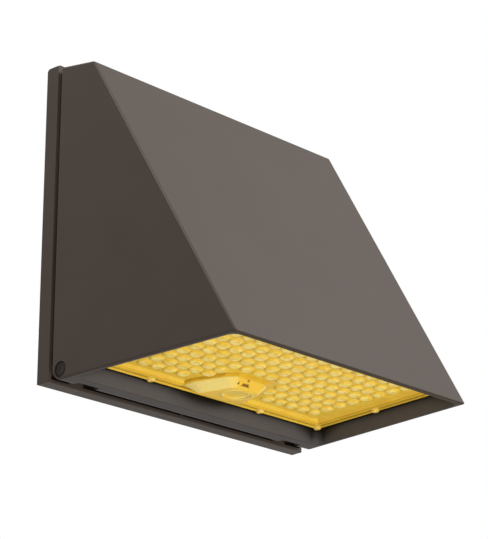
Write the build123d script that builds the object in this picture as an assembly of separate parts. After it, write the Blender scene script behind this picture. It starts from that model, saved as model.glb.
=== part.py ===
"""Wall pack light: a hinged full cut-off area light for an outside wall.

A shallow cast back plate is bolted to the wall. A drafted trapezoid housing hangs on two hinge pins at its lower
rear edge and swings down and forward from the plate when its two captive screws are loosened. The housing carries
an amber lens in a recess in its underside, the light-emitting board above the lens, and the power supply on the
deck above the board.

Millimetres. The origin is the centre of the wall bolt pattern, on the wall. +Z is up, -Y is away from the wall.
Heights written as level(h) are measured from the lower edge of the light.
"""

from build123d import *
import os
from math import atan, cos, radians, sin, tan

# How far a cutting body runs past the face that it opens, and how far a rib or boss bites into its wall
past = 1.0
bite = 0.5

# Overall sizes
overall_width = 300.0
overall_height = 282.0
overall_depth = 213.5
top_depth = 55.0
top_drop = 8.4
side_draft = 3.8

# Castings
plate_depth = 13.2
plate_floor = 3.0
plate_wall = 3.0
plate_top_radius = 3.0
plate_edge_radius = 0.8
rain_bead_radius = 1.3
seam_gap = 3.1
housing_wall = 3.0
edge_radius = 2.0
lower_edge_radius = 1.0
nose_radius = 4.0
chamber_front_radius = 3.0
chamber_nose_radius = 5.0
rear_corner_radius = 10.0
rib_thickness = 2.4
rib_height = 5.0
slope_rib_top = 22.0

# Rim of the housing and its seal
rim_width = 10.0
rim_thickness = 4.0
rim_margin = 3.6
seal_width = 5.0
seal_seat_depth = 4.2
seal_side_clearance = 0.3
seal_face_clearance = 0.3
channel_wall = 2.5

# Lens recess
lip_side = 4.0
lip_front = 5.5
flange_depth = 21.7
flange_thickness = 2.5
recess_wall = 2.5
recess_corner_radius = 7.0

# Lens
lens_level = 15.5
lens_thickness = 2.0
lens_clearance = 0.6
lens_corner_radius = 6.0
border_strip = 8.0
ridge_width = 3.0
ridge_height = 1.0
groove_width = 1.8
dish_run = 2.6
dish_depth = 2.5
gasket_thickness = 1.5
gasket_width = 2.2
gasket_inset = 0.8
land_width = 10.6
lens_pan_gap = 1.0
lens_pad_radius = 2.9

# Optics, one over each light source
optic_pitch_x = 14.4
optic_pitch_y = 15.0
optic_rear_margin = 5.5
optic_radius = 6.3
optic_crown_radius = 3.4
optic_height = 2.1
optic_sides = 6
chip_size = 3.0
chip_thickness = 0.8

# Board
board_thickness = 1.6
board_gap = 2.0
board_inset = 2.0
deck_thickness = 3.4

# Sensor pod in the rear middle of the lens
pod_drop = 7.5
pod_rear_setback = 6.0
pod_length = 55.0
pod_side_length = 17.0
pod_rear_half = 35.0
pod_waist_half = 26.0
pod_front_half = 18.0
pod_corner_length = 8.0
pod_side_lean = 11.8
pod_rear_lean = 13.0
pod_front_lean = 8.0
pod_wall = 2.2
port_radius = 11.0
port_seat_radius = 13.0
port_seat_depth = 1.6
port_floor = 1.2
port_collar_radius = 15.2
port_collar_height = 0.8
port_setback = 33.0
port_plug_length = 5.0
port_plug_clearance = 0.3
port_dish_rim = 2.6
port_dish_depth = 0.9
pod_window_width = 9.0
pod_window_height = 2.4
pod_window_x = -5.0
pod_small_window_x = -13.0

# Hinge
hinge_setback = 26.0
hinge_height = 8.5
hinge_pin_radius = 3.0
hinge_boss_radius = 6.3
hinge_clearance = 0.05
arm_offset = 30.5
arm_thickness = 8.0
arm_side_gap = 0.5
arm_below_pivot = 2.0
arm_root_half = 7.5
pin_head_radius = 6.2
pin_head_thickness = 2.0
pin_head_recess = 0.6
pin_head_gap = 0.4
notch_front_radius = 1.5
notch_length = 13.2
notch_half_front = 11.0
notch_half_rear = 13.5
clip_radius = 5.0
clip_thickness = 0.8
clip_mouth = 4.0
pin_groove_end = 2.0

# Closure at the top
closure_offset = 50.0
closure_setback = 30.0
closure_seat_depth = 2.4
closure_seat_radius = 6.5
closure_screw_radius = 2.5
closure_screw_clearance = 0.3
closure_head_radius = 4.5
closure_head_height = 3.2
closure_socket = 4.0
closure_socket_depth = 2.0
closure_washer_thickness = 1.0
closure_washer_radius = 5.6
closure_block_half = 10.5
closure_block_front = 8.5
closure_block_rear = 9.0
closure_roof = 4.7
lug_thickness = 4.0
lug_half = 6.5
lug_roof_gap = 1.2
lug_side_gap = 1.0
lug_fork_half = 3.2
lug_reach = 5.5
lug_chamfer = 1.5
lug_gusset = 12.0
nut_width = 8.0
nut_height = 4.0
nut_gap = 0.3
nut_side_gap = 0.3
nut_floor = 3.0
thread_clearance = 0.05
screw_tip_length = 1.5
screw_tip_radius = 2.9
screw_tip_gap = 5.0

# Wall fixing
wall_bolt_spacing_x = 210.0
wall_bolt_spacing_z = 182.0
wall_bolt_hole_radius = 3.5
wall_boss_radius = 8.0
wall_boss_height = 6.0
box_screw_spacing = 88.9
box_screw_slot_length = 12.0
box_screw_slot_radius = 2.6
wire_entry_radius = 11.2
wire_boss_radius = 17.0
wire_boss_height = 4.0
grommet_bore_radius = 7.0
grommet_flange_radius = 14.0
grommet_flange_thickness = 1.5
wall_gasket_half = 61.0
wall_gasket_width = 8.0
wall_gasket_thickness = 1.6
wall_gasket_clearance = 0.2
sleeve_clearance = 0.1
plate_rib_height = 4.0

# Electrical pieces
driver_length = 150.0
driver_width = 60.0
driver_height = 36.0
driver_ear = 9.0
driver_ear_thickness = 2.0
driver_setback = 96.0
driver_case_chamfer = 3.0
driver_ear_share = 0.6
bracket_thickness = 1.5
bracket_margin = 9.0
bracket_lip = 8.0
bracket_post_gap = 2.0
post_height = 7.0
post_radius = 5.0
surge_length = 48.0
surge_width = 32.0
surge_height = 26.0
surge_gap = 7.0
surge_foot = 8.0
surge_corner_radius = 2.0
terminal_length = 46.0
terminal_height = 18.0
terminal_depth = 15.0
terminal_offset_x = 72.0
terminal_offset_z = 52.0
terminal_ways = 3
terminal_step = 4.0
terminal_ear = 8.0
terminal_ear_thickness = 3.0
terminal_well_radius = 3.0
terminal_well_depth = 5.0
terminal_mouth_half = 3.0
terminal_mouth_height = 4.5
ground_offset_x = -62.0
ground_offset_z = 44.0
ground_hole_radius = 2.0
ground_head_radius = 4.2
ground_head_height = 3.0
ground_washer = 11.0
ground_washer_thickness = 1.2
small_screw_radius = 1.5
small_head_radius = 2.9
small_head_height = 1.5
board_screw_length = 3.5
ear_screw_length = 3.0
terminal_screw_length = 5.0
bracket_screw_length = 7.0
screw_thread_clearance = 0.1
lens_screw_radius = 1.9
lens_head_radius = 3.6
lens_head_height = 2.2
lens_screw_length = 10.0
lens_screw_inset = 4.6
lens_screw_offset = 64.5
lens_screw_middle = 115.8
lens_screw_relief = 5.2
screw_hole_clearance = 0.2
lead_hole_radius = 6.0
lead_hole_margin = 1.0
lead_hole_offset = 8.0
lead_grommet_bore = 3.5
lead_grommet_flange = 1.5
lead_grommet_rim = 2.0
connector_length = 14.0
connector_width = 8.0
connector_height = 3.4
connector_gap = 2.0
connector_mouth = 3.0
connector_mouth_height = 1.8
vent_offset = 60.0
vent_radius = 6.0
vent_head_radius = 8.0
vent_head_height = 3.5
deck_fin_pitch = 32.0
deck_fin_height = 8.0
deck_fin_gap = 4.0

# Places worked out from the sizes above
rear_edge = -(plate_depth + seam_gap)
slope_run = (overall_depth - top_depth) / (overall_height - top_drop)
slope_angle = atan(slope_run)
top_fall = top_drop / top_depth
recess_rear = rear_edge - flange_depth
hinge_y = -hinge_setback
land_level = lens_level + lens_thickness + gasket_thickness
lens_floor_level = lens_level + dish_depth
board_level = lens_floor_level + lens_thickness + board_gap
deck_level = board_level + board_thickness
deck_top = deck_level + deck_thickness
bracket_top = deck_top + post_height + bracket_thickness
channel_high = land_level + 0.5
border_width = border_strip + ridge_width + groove_width + dish_run
pod_height = dish_depth + pod_drop
pod_share = dish_depth / pod_height
pod_lower = lens_level - pod_drop
closure_x = overall_width / 2 - closure_offset
arm_x = overall_width / 2 - arm_offset
group_half = (driver_length + 2 * driver_ear + surge_gap + surge_width) / 2
driver_x = driver_ear + driver_length / 2 - group_half
surge_x = group_half - surge_width / 2


def level(height):
    """Z of a height above the lower edge of the light."""
    return height - overall_height / 2


def half_width(y):
    """Outer half width at a distance -y from the wall: both sides are drafted."""
    return overall_width / 2 + y * tan(radians(side_draft))


def slope_y(height):
    """Y of the sloping front face at a height above the lower edge."""
    return -overall_depth + height * slope_run


def top_height(y):
    """Height of the housing's top face, which falls to the front."""
    return overall_height + y * top_fall


def recess_front(height):
    """Y of the recess's front wall, parallel to the sloping face."""
    return slope_y(height) + lip_front


lens_rear = recess_rear - lens_clearance
port_y = lens_rear - pod_rear_setback - port_setback
lead_hole_y = port_y + lead_hole_offset
connector_y = lead_hole_y - lead_hole_radius - connector_gap - connector_width / 2
lens_front = recess_front(land_level) + lens_clearance
hinge_z = level(hinge_height)


def profile(points, radii=0.0):
    """A closed outline of (y, height) points in the side view."""
    line = FilletPolyline([(y, level(h)) for y, h in points], radius=radii, close=True)
    return Plane.YZ * make_face(line)


def across(face, half):
    """A side view outline carried to both sides."""
    return extrude(face, half, both=True)


def plan(inset, y_rear, y_front, radius=0.0):
    """The drafted plan outline between two distances from the wall, drawn in from the side walls."""
    rear, front = half_width(y_rear) - inset, half_width(y_front) - inset
    points = [(-rear, y_rear), (-front, y_front), (front, y_front), (rear, y_rear)]
    return make_face(FilletPolyline(points, radius=radius, close=True))


def lens_plan(inset):
    """The lens outline, drawn in by inset all round."""
    corner = max(lens_corner_radius - inset / 2, 1.0)
    return plan(lip_side + lens_clearance + inset, lens_rear - inset, lens_front + inset, corner)


def upright(face, low, high):
    """A plan outline carried from one height to another."""
    return Pos(0, 0, level(low)) * extrude(face, high - low)


def block(x, y, height, size_x, size_y, size_z):
    """A box centred in X and Y that stands on a height."""
    low = (Align.CENTER, Align.CENTER, Align.MIN)
    return Pos(x, y, level(height)) * Box(size_x, size_y, size_z, align=low)


def post(x, y, height, radius, length):
    """An upright cylinder that stands on a height."""
    low = (Align.CENTER, Align.CENTER, Align.MIN)
    return Pos(x, y, level(height)) * Cylinder(radius, length, align=low)


def wallward(x, z, y_front, radius, length):
    """A cylinder along Y whose front end is at y_front and which runs towards the wall."""
    low = (Align.CENTER, Align.CENTER, Align.MIN)
    return Pos(x, y_front, z) * Rot(-90, 0, 0) * Cylinder(radius, length, align=low)


def crosswise(x_low, x_high, radius):
    """A cylinder on the hinge axis between two X values."""
    middle = (x_low + x_high) / 2
    return Pos(middle, hinge_y, hinge_z) * Rot(0, 90, 0) * Cylinder(radius, x_high - x_low)


def headed_screw(head_radius, head_height, shank_radius, length):
    """A hexagon screw whose head stands on Z = 0; its shank hangs below it, six sided as its hole is."""
    head = extrude(RegularPolygon(head_radius, 6), head_height)
    return head + extrude(RegularPolygon(shank_radius, 6), -length)


def screw_hole(x, y, height, radius, length):
    """An upright six-sided hole for a headed screw, from a height upwards."""
    return Pos(x, y, level(height)) * extrude(RegularPolygon(radius, 6), length)


def wall_screw_hole(x, z, y_front, radius, length):
    """The same hole along Y, from y_front towards the wall."""
    return Pos(x, y_front, z) * Rot(-90, 0, 0) * extrude(RegularPolygon(radius, 6), length)


def both_sides(make):
    """The same piece on the right and the left."""
    return [make(1), make(-1)]


def fused(shape, pieces):
    for piece in pieces:
        shape += piece
    return shape


def cut(shape, pieces):
    for piece in pieces:
        shape -= piece
    return shape


# Lens screws and optics are used by several pieces, so their places come first.
def lens_screw_places():
    """Corners, two on the rear and front edges, and one half way along each side."""
    rear, front = lens_rear - lens_screw_inset, lens_front + lens_screw_inset
    edge = lip_side + lens_clearance + lens_screw_inset
    places = []
    for side in (1, -1):
        for y in (rear, -lens_screw_middle, front):
            places.append((side * (half_width(y) - edge), y))
        for y in (rear, front):
            places.append((side * lens_screw_offset, y))
    return places


def pod_outline(lean):
    """Plan points of the pod; lean runs from 0 at the lens floor to 1 at its lower face."""
    rear = lens_rear - pod_rear_setback - lean * pod_rear_lean
    front = lens_rear - pod_rear_setback - pod_length + lean * pod_front_lean
    shoulder = lens_rear - pod_rear_setback - pod_side_length
    knee = front + pod_corner_length * (1 - 0.6 * lean)
    shrink = lean * pod_side_lean
    half = [
        (pod_rear_half - shrink, rear),
        (pod_rear_half - shrink * 1.02, min(shoulder, rear - 4)),
        (pod_waist_half - shrink, knee),
        (pod_front_half - shrink * 0.5, front),
    ]
    return half + [(-x, y) for x, y in reversed(half)]


def pod_solid(low_lean, high_lean, inset=0.0):
    """The pod's drafted block between two leans, drawn in by inset."""
    faces = []
    for lean in (low_lean, high_lean):
        height = lens_floor_level - lean * pod_height
        outline = make_face(Polyline(*pod_outline(lean), close=True))
        if inset:
            outline = offset(outline, -inset, kind=Kind.INTERSECTION)
        faces.append(Pos(0, 0, level(height)) * outline)
    return loft(faces, ruled=True)


def pod_half_at(y):
    """Half width of the pod on the lens floor, 0 in front of it and behind it."""
    points = pod_outline(0.0)[:4]
    for (x_a, y_a), (x_b, y_b) in zip(points, points[1:]):
        if y_b <= y <= y_a:
            return x_a + (x_b - x_a) * (y_a - y) / (y_a - y_b)
    return 0.0


def optic_places():
    """Centres of the optics: a regular grid with the pod's cells left out."""
    field_rear = lens_rear - border_width
    field_front = lens_front + border_width
    columns = int((half_width(field_front) - lip_side - lens_clearance - border_width) // optic_pitch_x)
    rows = int((field_rear - optic_rear_margin - field_front) // optic_pitch_y)
    places = []
    for row in range(rows):
        y = field_rear - optic_rear_margin - (row + 0.5) * optic_pitch_y
        pod_half = max(pod_half_at(y), pod_half_at(y + optic_radius))
        for column in range(-columns, columns):
            x = (column + 0.5) * optic_pitch_x
            if pod_half == 0.0 or abs(x) > pod_half + optic_radius - 1.5:
                places.append((x, y))
    return places


def board_screw_places():
    """Screws between the sources, on the corners of the grid cells."""
    rear = lens_rear - border_width - optic_rear_margin
    near, far = rear - 2 * optic_pitch_y, rear - 6 * optic_pitch_y
    return [(side * n * optic_pitch_x, y) for side in (1, -1) for n, y in ((6, near), (6, far), (2, far))]


# Back plate and what it carries
seal_half = half_width(rear_edge) - rim_margin
seal_top = top_height(rear_edge) - rim_margin
seal_bottom = deck_top + rim_margin - 1.1
seal_inset = seal_width + seal_side_clearance + channel_wall
tray_half = seal_half - seal_inset
tray_low = seal_bottom + seal_inset
tray_high = seal_top - seal_inset
wall_bolts = [
    (side * wall_bolt_spacing_x / 2, rise * wall_bolt_spacing_z / 2) for side in (1, -1) for rise in (1, -1)
]
lug_low = top_height(-closure_setback) - closure_seat_depth - closure_roof - lug_roof_gap - lug_thickness


def frame_ring(outer_half, low, high, width, y_front, y_rear):
    """A rectangular ring that lies flat against the wall side."""
    middle = level((low + high) / 2)
    ring = Rectangle(2 * outer_half, high - low) - Rectangle(2 * (outer_half - width), high - low - 2 * width)
    return Pos(0, y_front, middle) * Rot(-90, 0, 0) * extrude(ring, y_rear - y_front)


def tray_block(x_low, x_high, low, high, y_front, y_rear):
    """A box given by its limits."""
    size = (x_high - x_low, y_rear - y_front, high - low)
    centre = ((x_low + x_high) / 2, (y_front + y_rear) / 2, level((low + high) / 2))
    return Pos(*centre) * Box(*size)


def hinge_arm(side):
    """The plate's arm: an eye on the hinge axis and a bar that reaches it from above the flange's path."""
    x = side * arm_x
    eye = Pos(x, hinge_y, hinge_z) * Rot(0, 90, 0) * Cylinder(hinge_boss_radius, arm_thickness)
    bar_low, bar_high = hinge_height - arm_below_pivot, hinge_height + hinge_boss_radius
    bar = tray_block(x - arm_thickness / 2, x + arm_thickness / 2, bar_low, bar_high, hinge_y, -plate_floor)
    bore = Pos(x, hinge_y, hinge_z) * Rot(0, 90, 0) * Cylinder(
        hinge_pin_radius + hinge_clearance, arm_thickness + 2 * past)
    return eye + bar - bore


def catch_lug(side):
    """A forked lug that the closure screw's nut is drawn up against; the fork is open to the front."""
    x = side * closure_x
    tip = -closure_setback - lug_reach
    lug = tray_block(x - lug_half, x + lug_half, lug_low, lug_low + lug_thickness, tip, -plate_floor)
    lug = chamfer(lug.edges().filter_by(Axis.Z).group_by(Axis.Y)[0], lug_chamfer)
    mouth = tray_block(x - lug_fork_half, x + lug_fork_half, lug_low - past, lug_low + lug_thickness + past,
                       tip - past, -closure_setback)
    root = post(x, -closure_setback, lug_low - past, lug_fork_half, lug_thickness + 2 * past)
    gusset_face = make_face(Polyline(
        (-plate_floor, level(lug_low)), (-plate_depth, level(lug_low)), (-plate_floor, level(lug_low - lug_gusset)),
        close=True,
    ))
    gusset = Pos(x, 0, 0) * across(Plane.YZ * gusset_face, rib_thickness / 2)
    return lug - mouth - root + gusset


def back_plate():
    """Shallow cast tray, open to the front, with the seal channel round it."""
    outline = [(0, 0), (-plate_depth, 0), (-plate_depth, overall_height), (0, overall_height)]
    body = across(profile(outline, [plate_edge_radius] * 3 + [plate_top_radius]), overall_width)
    body &= upright(plan(0, past, -plate_depth - past), -past, overall_height + past)
    bead_y = -plate_depth + rain_bead_radius
    bead = across(profile_circle(bead_y, overall_height, rain_bead_radius), half_width(-plate_depth) - edge_radius)
    body += bead
    body -= tray_block(-tray_half, tray_half, tray_low, tray_high, -plate_depth - past, -plate_floor)
    channel_outer = seal_half + seal_side_clearance
    body -= frame_ring(channel_outer, seal_bottom - seal_side_clearance, seal_top + seal_side_clearance,
                       seal_width + 2 * seal_side_clearance, -plate_depth - past, -plate_depth + seal_seat_depth)
    core_high = seal_bottom - seal_side_clearance - plate_wall
    core_inner = arm_x - arm_root_half
    core_outer = half_width(-plate_depth) - plate_wall
    for near, far in ((rib_thickness / 2, core_inner), (arm_x + arm_root_half, core_outer)):
        for x_low, x_high in ((near, far), (-far, -near)):
            body -= tray_block(x_low, x_high, plate_wall, core_high, -plate_depth - past, -plate_floor)
    rib_front = -plate_floor - plate_rib_height
    for x, _ in wall_bolts[::2]:
        body += tray_block(x - rib_thickness / 2, x + rib_thickness / 2, tray_low - bite, tray_high + bite,
                           rib_front, -plate_floor + bite)
    for _, z in wall_bolts[:2]:
        height = z + overall_height / 2
        body += tray_block(-tray_half - bite, tray_half + bite, height - rib_thickness / 2, height + rib_thickness / 2,
                           rib_front, -plate_floor + bite)
    for x, z in wall_bolts:
        body += wallward(x, z, -plate_floor - wall_boss_height, wall_boss_radius, wall_boss_height + bite)
    body += wallward(0, 0, -plate_floor - wire_boss_height, wire_boss_radius, wire_boss_height + bite)
    body = fused(body, both_sides(hinge_arm) + both_sides(catch_lug))
    for x, z in wall_bolts:
        body -= wallward(x, z, -plate_depth, wall_bolt_hole_radius, plate_depth + past)
    body -= wallward(0, 0, -plate_depth, wire_entry_radius, plate_depth + past)
    slot = SlotOverall(box_screw_slot_length, 2 * box_screw_slot_radius)
    for side in (1, -1):
        body -= Pos(side * box_screw_spacing / 2, -plate_depth, 0) * Rot(-90, 0, 0) * extrude(slot, plate_depth + past)
    body -= square_ring(wall_gasket_half, wall_gasket_width, -wall_gasket_thickness, past)
    for side in (1, -1):
        body -= wall_screw_hole(terminal_screw_x(side), terminal_offset_z, -plate_floor - past, small_screw_radius,
                                terminal_screw_length - terminal_ear_thickness + past + bite)
    seat = -plate_floor - plate_rib_height
    body += wallward(ground_offset_x, ground_offset_z, seat, post_radius, plate_rib_height + bite)
    body -= wall_screw_hole(ground_offset_x, ground_offset_z, seat - past, ground_hole_radius,
                            terminal_screw_length + past + bite)
    return body


def profile_circle(y, height, radius):
    """A disc in the side view."""
    return Plane.YZ * Pos(y, level(height), 0) * Circle(radius)


def square_ring(half, width, y_front, y_rear):
    """A square ring round the wire entry, flat against the wall side."""
    middle = overall_height / 2
    return frame_ring(half, middle - half, middle + half, width, y_front, y_rear)


def wall_gasket():
    """Foam ring in the rear face's groove, between the light and its outlet box."""
    half, width = wall_gasket_half - wall_gasket_clearance, wall_gasket_width - 2 * wall_gasket_clearance
    return square_ring(half, width, -wall_gasket_thickness, 0)


def wire_grommet():
    """Rubber bush: a sleeve in the wire entry with a flange on each side of the boss."""
    boss_front = -plate_floor - wire_boss_height
    sleeve = wallward(0, 0, boss_front, wire_entry_radius - sleeve_clearance, -boss_front)
    flange = wallward(0, 0, boss_front - grommet_flange_thickness, grommet_flange_radius, grommet_flange_thickness)
    bore_front = boss_front - grommet_flange_thickness - past
    return sleeve + flange - wallward(0, 0, bore_front, grommet_bore_radius, past - bore_front)


def rim_seal():
    """Moulded ring in the plate's channel; its face stops just short of the housing's rim."""
    return frame_ring(seal_half, seal_bottom, seal_top, seal_width, rear_edge + seal_face_clearance,
                      -plate_depth + seal_seat_depth)


def terminal_screw_x(side):
    return terminal_offset_x + side * (terminal_length + terminal_ear) / 2


def terminal_block():
    """Screw terminal on the tray: stepped body with a screw well and a wire mouth for each way."""
    x, z, half = terminal_offset_x, terminal_offset_z, terminal_length / 2
    y_front = -plate_floor - terminal_depth
    low = z + (overall_height - terminal_height) / 2
    high = low + terminal_height
    body = tray_block(x - half, x + half, low, high, y_front + terminal_step, -plate_floor)
    body += tray_block(x - half, x + half, low + terminal_step, high - terminal_step, y_front, -plate_floor)
    ear_reach = half + terminal_ear
    body += tray_block(x - ear_reach, x + ear_reach, low + terminal_step, high - terminal_step,
                       -plate_floor - terminal_ear_thickness, -plate_floor)
    pitch = terminal_length / terminal_ways
    for n in range(terminal_ways):
        way_x = x - half + (n + 0.5) * pitch
        body -= wallward(way_x, z, y_front - past, terminal_well_radius, terminal_well_depth + past)
        mouth_front = -plate_floor - terminal_ear_thickness - terminal_mouth_height
        body -= tray_block(way_x - terminal_mouth_half, way_x + terminal_mouth_half, low - past, low + terminal_step,
                           mouth_front, mouth_front + terminal_mouth_height)
    for side in (1, -1):
        body -= wall_screw_hole(terminal_screw_x(side), z, y_front, small_screw_radius + screw_hole_clearance,
                                terminal_depth + past)
    return body


def terminal_screws():
    screw = headed_screw(small_head_radius, small_head_height, small_screw_radius - screw_thread_clearance,
                         terminal_screw_length)
    seat = -plate_floor - terminal_ear_thickness
    return [Pos(terminal_screw_x(side), seat, terminal_offset_z) * Rot(90, 0, 0) * screw for side in (1, -1)]


def ground_screw():
    """Earth screw with a square washer, in the boss on the tray floor."""
    seat = -plate_floor - plate_rib_height
    washer = Box(ground_washer, ground_washer, ground_washer_thickness, align=(Align.CENTER, Align.CENTER, Align.MIN))
    screw = headed_screw(ground_head_radius, ground_head_height, ground_hole_radius - screw_thread_clearance,
                         terminal_screw_length + ground_washer_thickness)
    piece = washer + Pos(0, 0, ground_washer_thickness) * screw
    return Pos(ground_offset_x, seat, ground_offset_z) * Rot(90, 0, 0) * piece


# Housing
def outer_form():
    """The drafted trapezoid: the side view carried across, then trimmed to the drafted plan."""
    outline = [
        (rear_edge, 0),
        (-overall_depth, 0),
        (-top_depth, top_height(-top_depth)),
        (rear_edge, top_height(rear_edge)),
    ]
    radii = [rear_corner_radius, lower_edge_radius, nose_radius, edge_radius]
    form = across(profile(outline, radii), overall_width)
    form &= upright(plan(0, 0, -overall_depth - past), -past, overall_height + past)
    side_edges = [
        e for e in form.edges()
        if e.center().Y < rear_edge - bite and abs(abs(e.center().X) - half_width(e.center().Y)) < bite
    ]
    return fillet(side_edges, edge_radius)


def chamber():
    """The space above the deck, with the narrower opening at its rear rim."""
    wall = housing_wall / cos(slope_angle)
    nose = (overall_height - housing_wall + top_fall * (wall - overall_depth)) / (1 - top_fall * slope_run)
    back = rear_edge - rim_thickness
    points = [
        (back, deck_top),
        (slope_y(deck_top) + wall, deck_top),
        (slope_y(nose) + wall, nose),
        (back, top_height(back) - housing_wall),
    ]
    room = across(profile(points, [0, chamber_front_radius, chamber_nose_radius, 0]), overall_width)
    room &= upright(plan(housing_wall, 0, -overall_depth), 0, overall_height)
    rim_half = half_width(rear_edge) - rim_width
    mouth = tray_block(-rim_half, rim_half, deck_top + rim_width, top_height(rear_edge) - rim_width,
                       back - bite, rear_edge + past)
    return room + mouth


def recess():
    """The lens recess under the deck, and the deeper pocket for the board."""
    points = [
        (recess_rear, -past),
        (recess_front(-past), -past),
        (recess_front(land_level), land_level),
        (recess_rear, land_level),
    ]
    room = across(profile(points, 0), overall_width)
    room &= upright(plan(lip_side, recess_rear + past, -overall_depth), -2 * past, overall_height)
    corners = [e for e in room.edges() if abs(e.center().X) > half_width(-overall_depth) / 2
               and e.bounding_box().size.Z > land_level / 2]
    room = fillet(corners, recess_corner_radius)
    return room + upright(lens_plan(land_width), land_level - bite, deck_level)


def hinge_channel():
    """The slot behind the recess, open to the plate, in which the hinge arms lie."""
    half = half_width(rear_edge) - housing_wall
    front = recess_rear + recess_wall
    channel = tray_block(-half, half, flange_thickness, channel_high, front, rear_edge + past)
    notch_front = rear_edge - notch_length
    for side in (1, -1):
        x = side * arm_x
        points = [
            (x - notch_half_rear, rear_edge + past),
            (x - notch_half_front, notch_front),
            (x + notch_half_front, notch_front),
            (x + notch_half_rear, rear_edge + past),
        ]
        notch = make_face(FilletPolyline(points, radius=notch_front_radius, close=True))
        channel += upright(notch, -past, flange_thickness + past)
    return channel


def hinge_boss(side):
    """Boss from the side wall to the arm, webbed to the recess's rear wall."""
    wall_x = half_width(hinge_y) - housing_wall / 2
    inner_x = arm_x + arm_thickness / 2 + arm_side_gap
    low, high = sorted((side * wall_x, side * inner_x))
    web_x = side * (arm_x + notch_half_rear + rib_thickness)
    web = tray_block(web_x - rib_thickness / 2, web_x + rib_thickness / 2, flange_thickness - bite,
                     hinge_height + hinge_boss_radius, recess_rear + bite, hinge_y)
    return crosswise(low, high, hinge_boss_radius) + web


def pin_bore(side):
    """Bore for the pin and counterbore for its head, from the drafted side face."""
    face_x = half_width(hinge_y)
    low, high = sorted((side * (face_x + past), side * (arm_x - arm_thickness / 2)))
    bore = crosswise(low, high, hinge_pin_radius + hinge_clearance)
    seat_x = face_x - pin_head_thickness - pin_head_recess
    low, high = sorted((side * seat_x, side * (face_x + past)))
    return bore + crosswise(low, high, pin_head_radius + pin_head_gap)


def closure_seat_level():
    return top_height(-closure_setback) - closure_seat_depth


def closure_block(side):
    """Block under the top wall that holds the nut and takes the plate's lug."""
    seat = closure_seat_level()
    low = lug_low - nut_gap - nut_height - nut_floor
    front, rear = -closure_setback - closure_block_front, -closure_setback + closure_block_rear
    x = side * closure_x
    return tray_block(x - closure_block_half, x + closure_block_half, low, seat, front, rear)


def closure_cuts(side):
    """Head seat, screw hole, slot for the lug and pocket for the square nut."""
    seat = closure_seat_level()
    x, y = side * closure_x, -closure_setback
    slot_low, slot_high = lug_low - nut_gap, lug_low + lug_thickness + lug_roof_gap
    slot_front = y - lug_reach - lug_side_gap
    slot_half = lug_half + lug_side_gap
    slot = tray_block(x - slot_half, x + slot_half, slot_low, slot_high, slot_front, y + closure_block_rear + past)
    nut_low = lug_low - nut_gap - nut_height - nut_side_gap / 2
    pocket_size = nut_width + 2 * nut_side_gap
    pocket = block(x, y, nut_low, pocket_size, pocket_size, slot_low - nut_low + past)
    hole_low = nut_low - nut_floor - past
    hole = post(x, y, hole_low, screw_tip_radius + closure_screw_clearance, seat - hole_low + past)
    head = post(x, y, seat, closure_seat_radius, closure_seat_depth + closure_head_height)
    return slot + pocket + hole + head


def inside_ribs():
    """Upright ribs on the inside of the sloping face, and low fins on the front of the deck."""
    wall = housing_wall / cos(slope_angle)
    rib = wall + rib_height / cos(slope_angle)
    low, high = deck_top - bite, top_height(-top_depth) - slope_rib_top
    run_out = high + 1.5 * rib_height
    points = [(slope_y(low) + wall - bite, low), (slope_y(low) + rib, low),
              (slope_y(high) + rib, high), (slope_y(run_out) + wall - bite, run_out)]
    face = make_face(Polyline(*[(y, level(h)) for y, h in points], close=True))
    ribs = [Pos(x, 0, 0) * across(Plane.YZ * face, rib_thickness / 2) for x in (-closure_x, 0, closure_x)]
    fin_rear = bracket_limits()[2] - deck_fin_gap
    fin_front = slope_y(deck_top) + rib + deck_fin_gap
    count = int(half_width(fin_front) // deck_fin_pitch) - 1
    for n in range(-count, count):
        x = (n + 0.5) * deck_fin_pitch
        ribs.append(tray_block(x - rib_thickness / 2, x + rib_thickness / 2, deck_top - bite,
                               deck_top + deck_fin_height, fin_front, fin_rear))
    return ribs


def bracket_places():
    """The four posts on the deck that carry the driver's bracket."""
    reach_x, reach_y = group_half - bracket_post_gap, driver_width / 2 + bracket_post_gap
    return [(sx * reach_x, -driver_setback + sy * reach_y) for sx in (1, -1) for sy in (1, -1)]


def bracket_limits():
    """Lowest and highest X, then Y, of the bracket."""
    x, y = bracket_places()[0]
    half_x, half_y = x + bracket_margin, y + driver_setback + bracket_margin
    return -half_x, half_x, -driver_setback - half_y, -driver_setback + half_y


def housing():
    """The drafted casting: outer form, chamber, lens recess, hinge channel, bosses and closure blocks."""
    body = outer_form() - chamber() - recess() - hinge_channel()
    body = fused(body, inside_ribs())
    for x, y in bracket_places():
        body += post(x, y, deck_top - bite, post_radius, post_height + bite)
        body -= screw_hole(x, y, deck_top + post_height - bracket_screw_length, small_screw_radius,
                           bracket_screw_length + past)
    body = fused(body, both_sides(hinge_boss) + both_sides(closure_block))
    body = cut(body, both_sides(pin_bore) + both_sides(closure_cuts))
    for x, y in lens_screw_places():
        body -= screw_hole(x, y, land_level - past, lens_screw_radius, lens_level + lens_screw_length - land_level + past + bite)
    for x, y in board_screw_places():
        body -= screw_hole(x, y, deck_level - past, small_screw_radius, board_screw_length - board_thickness + past + bite)
    body -= post(0, lead_hole_y, deck_level - past, lead_hole_radius, deck_thickness + 2 * past)
    body -= post(vent_offset, hinge_y, land_level - past, vent_radius, deck_top - land_level + 2 * past)
    return body


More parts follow.
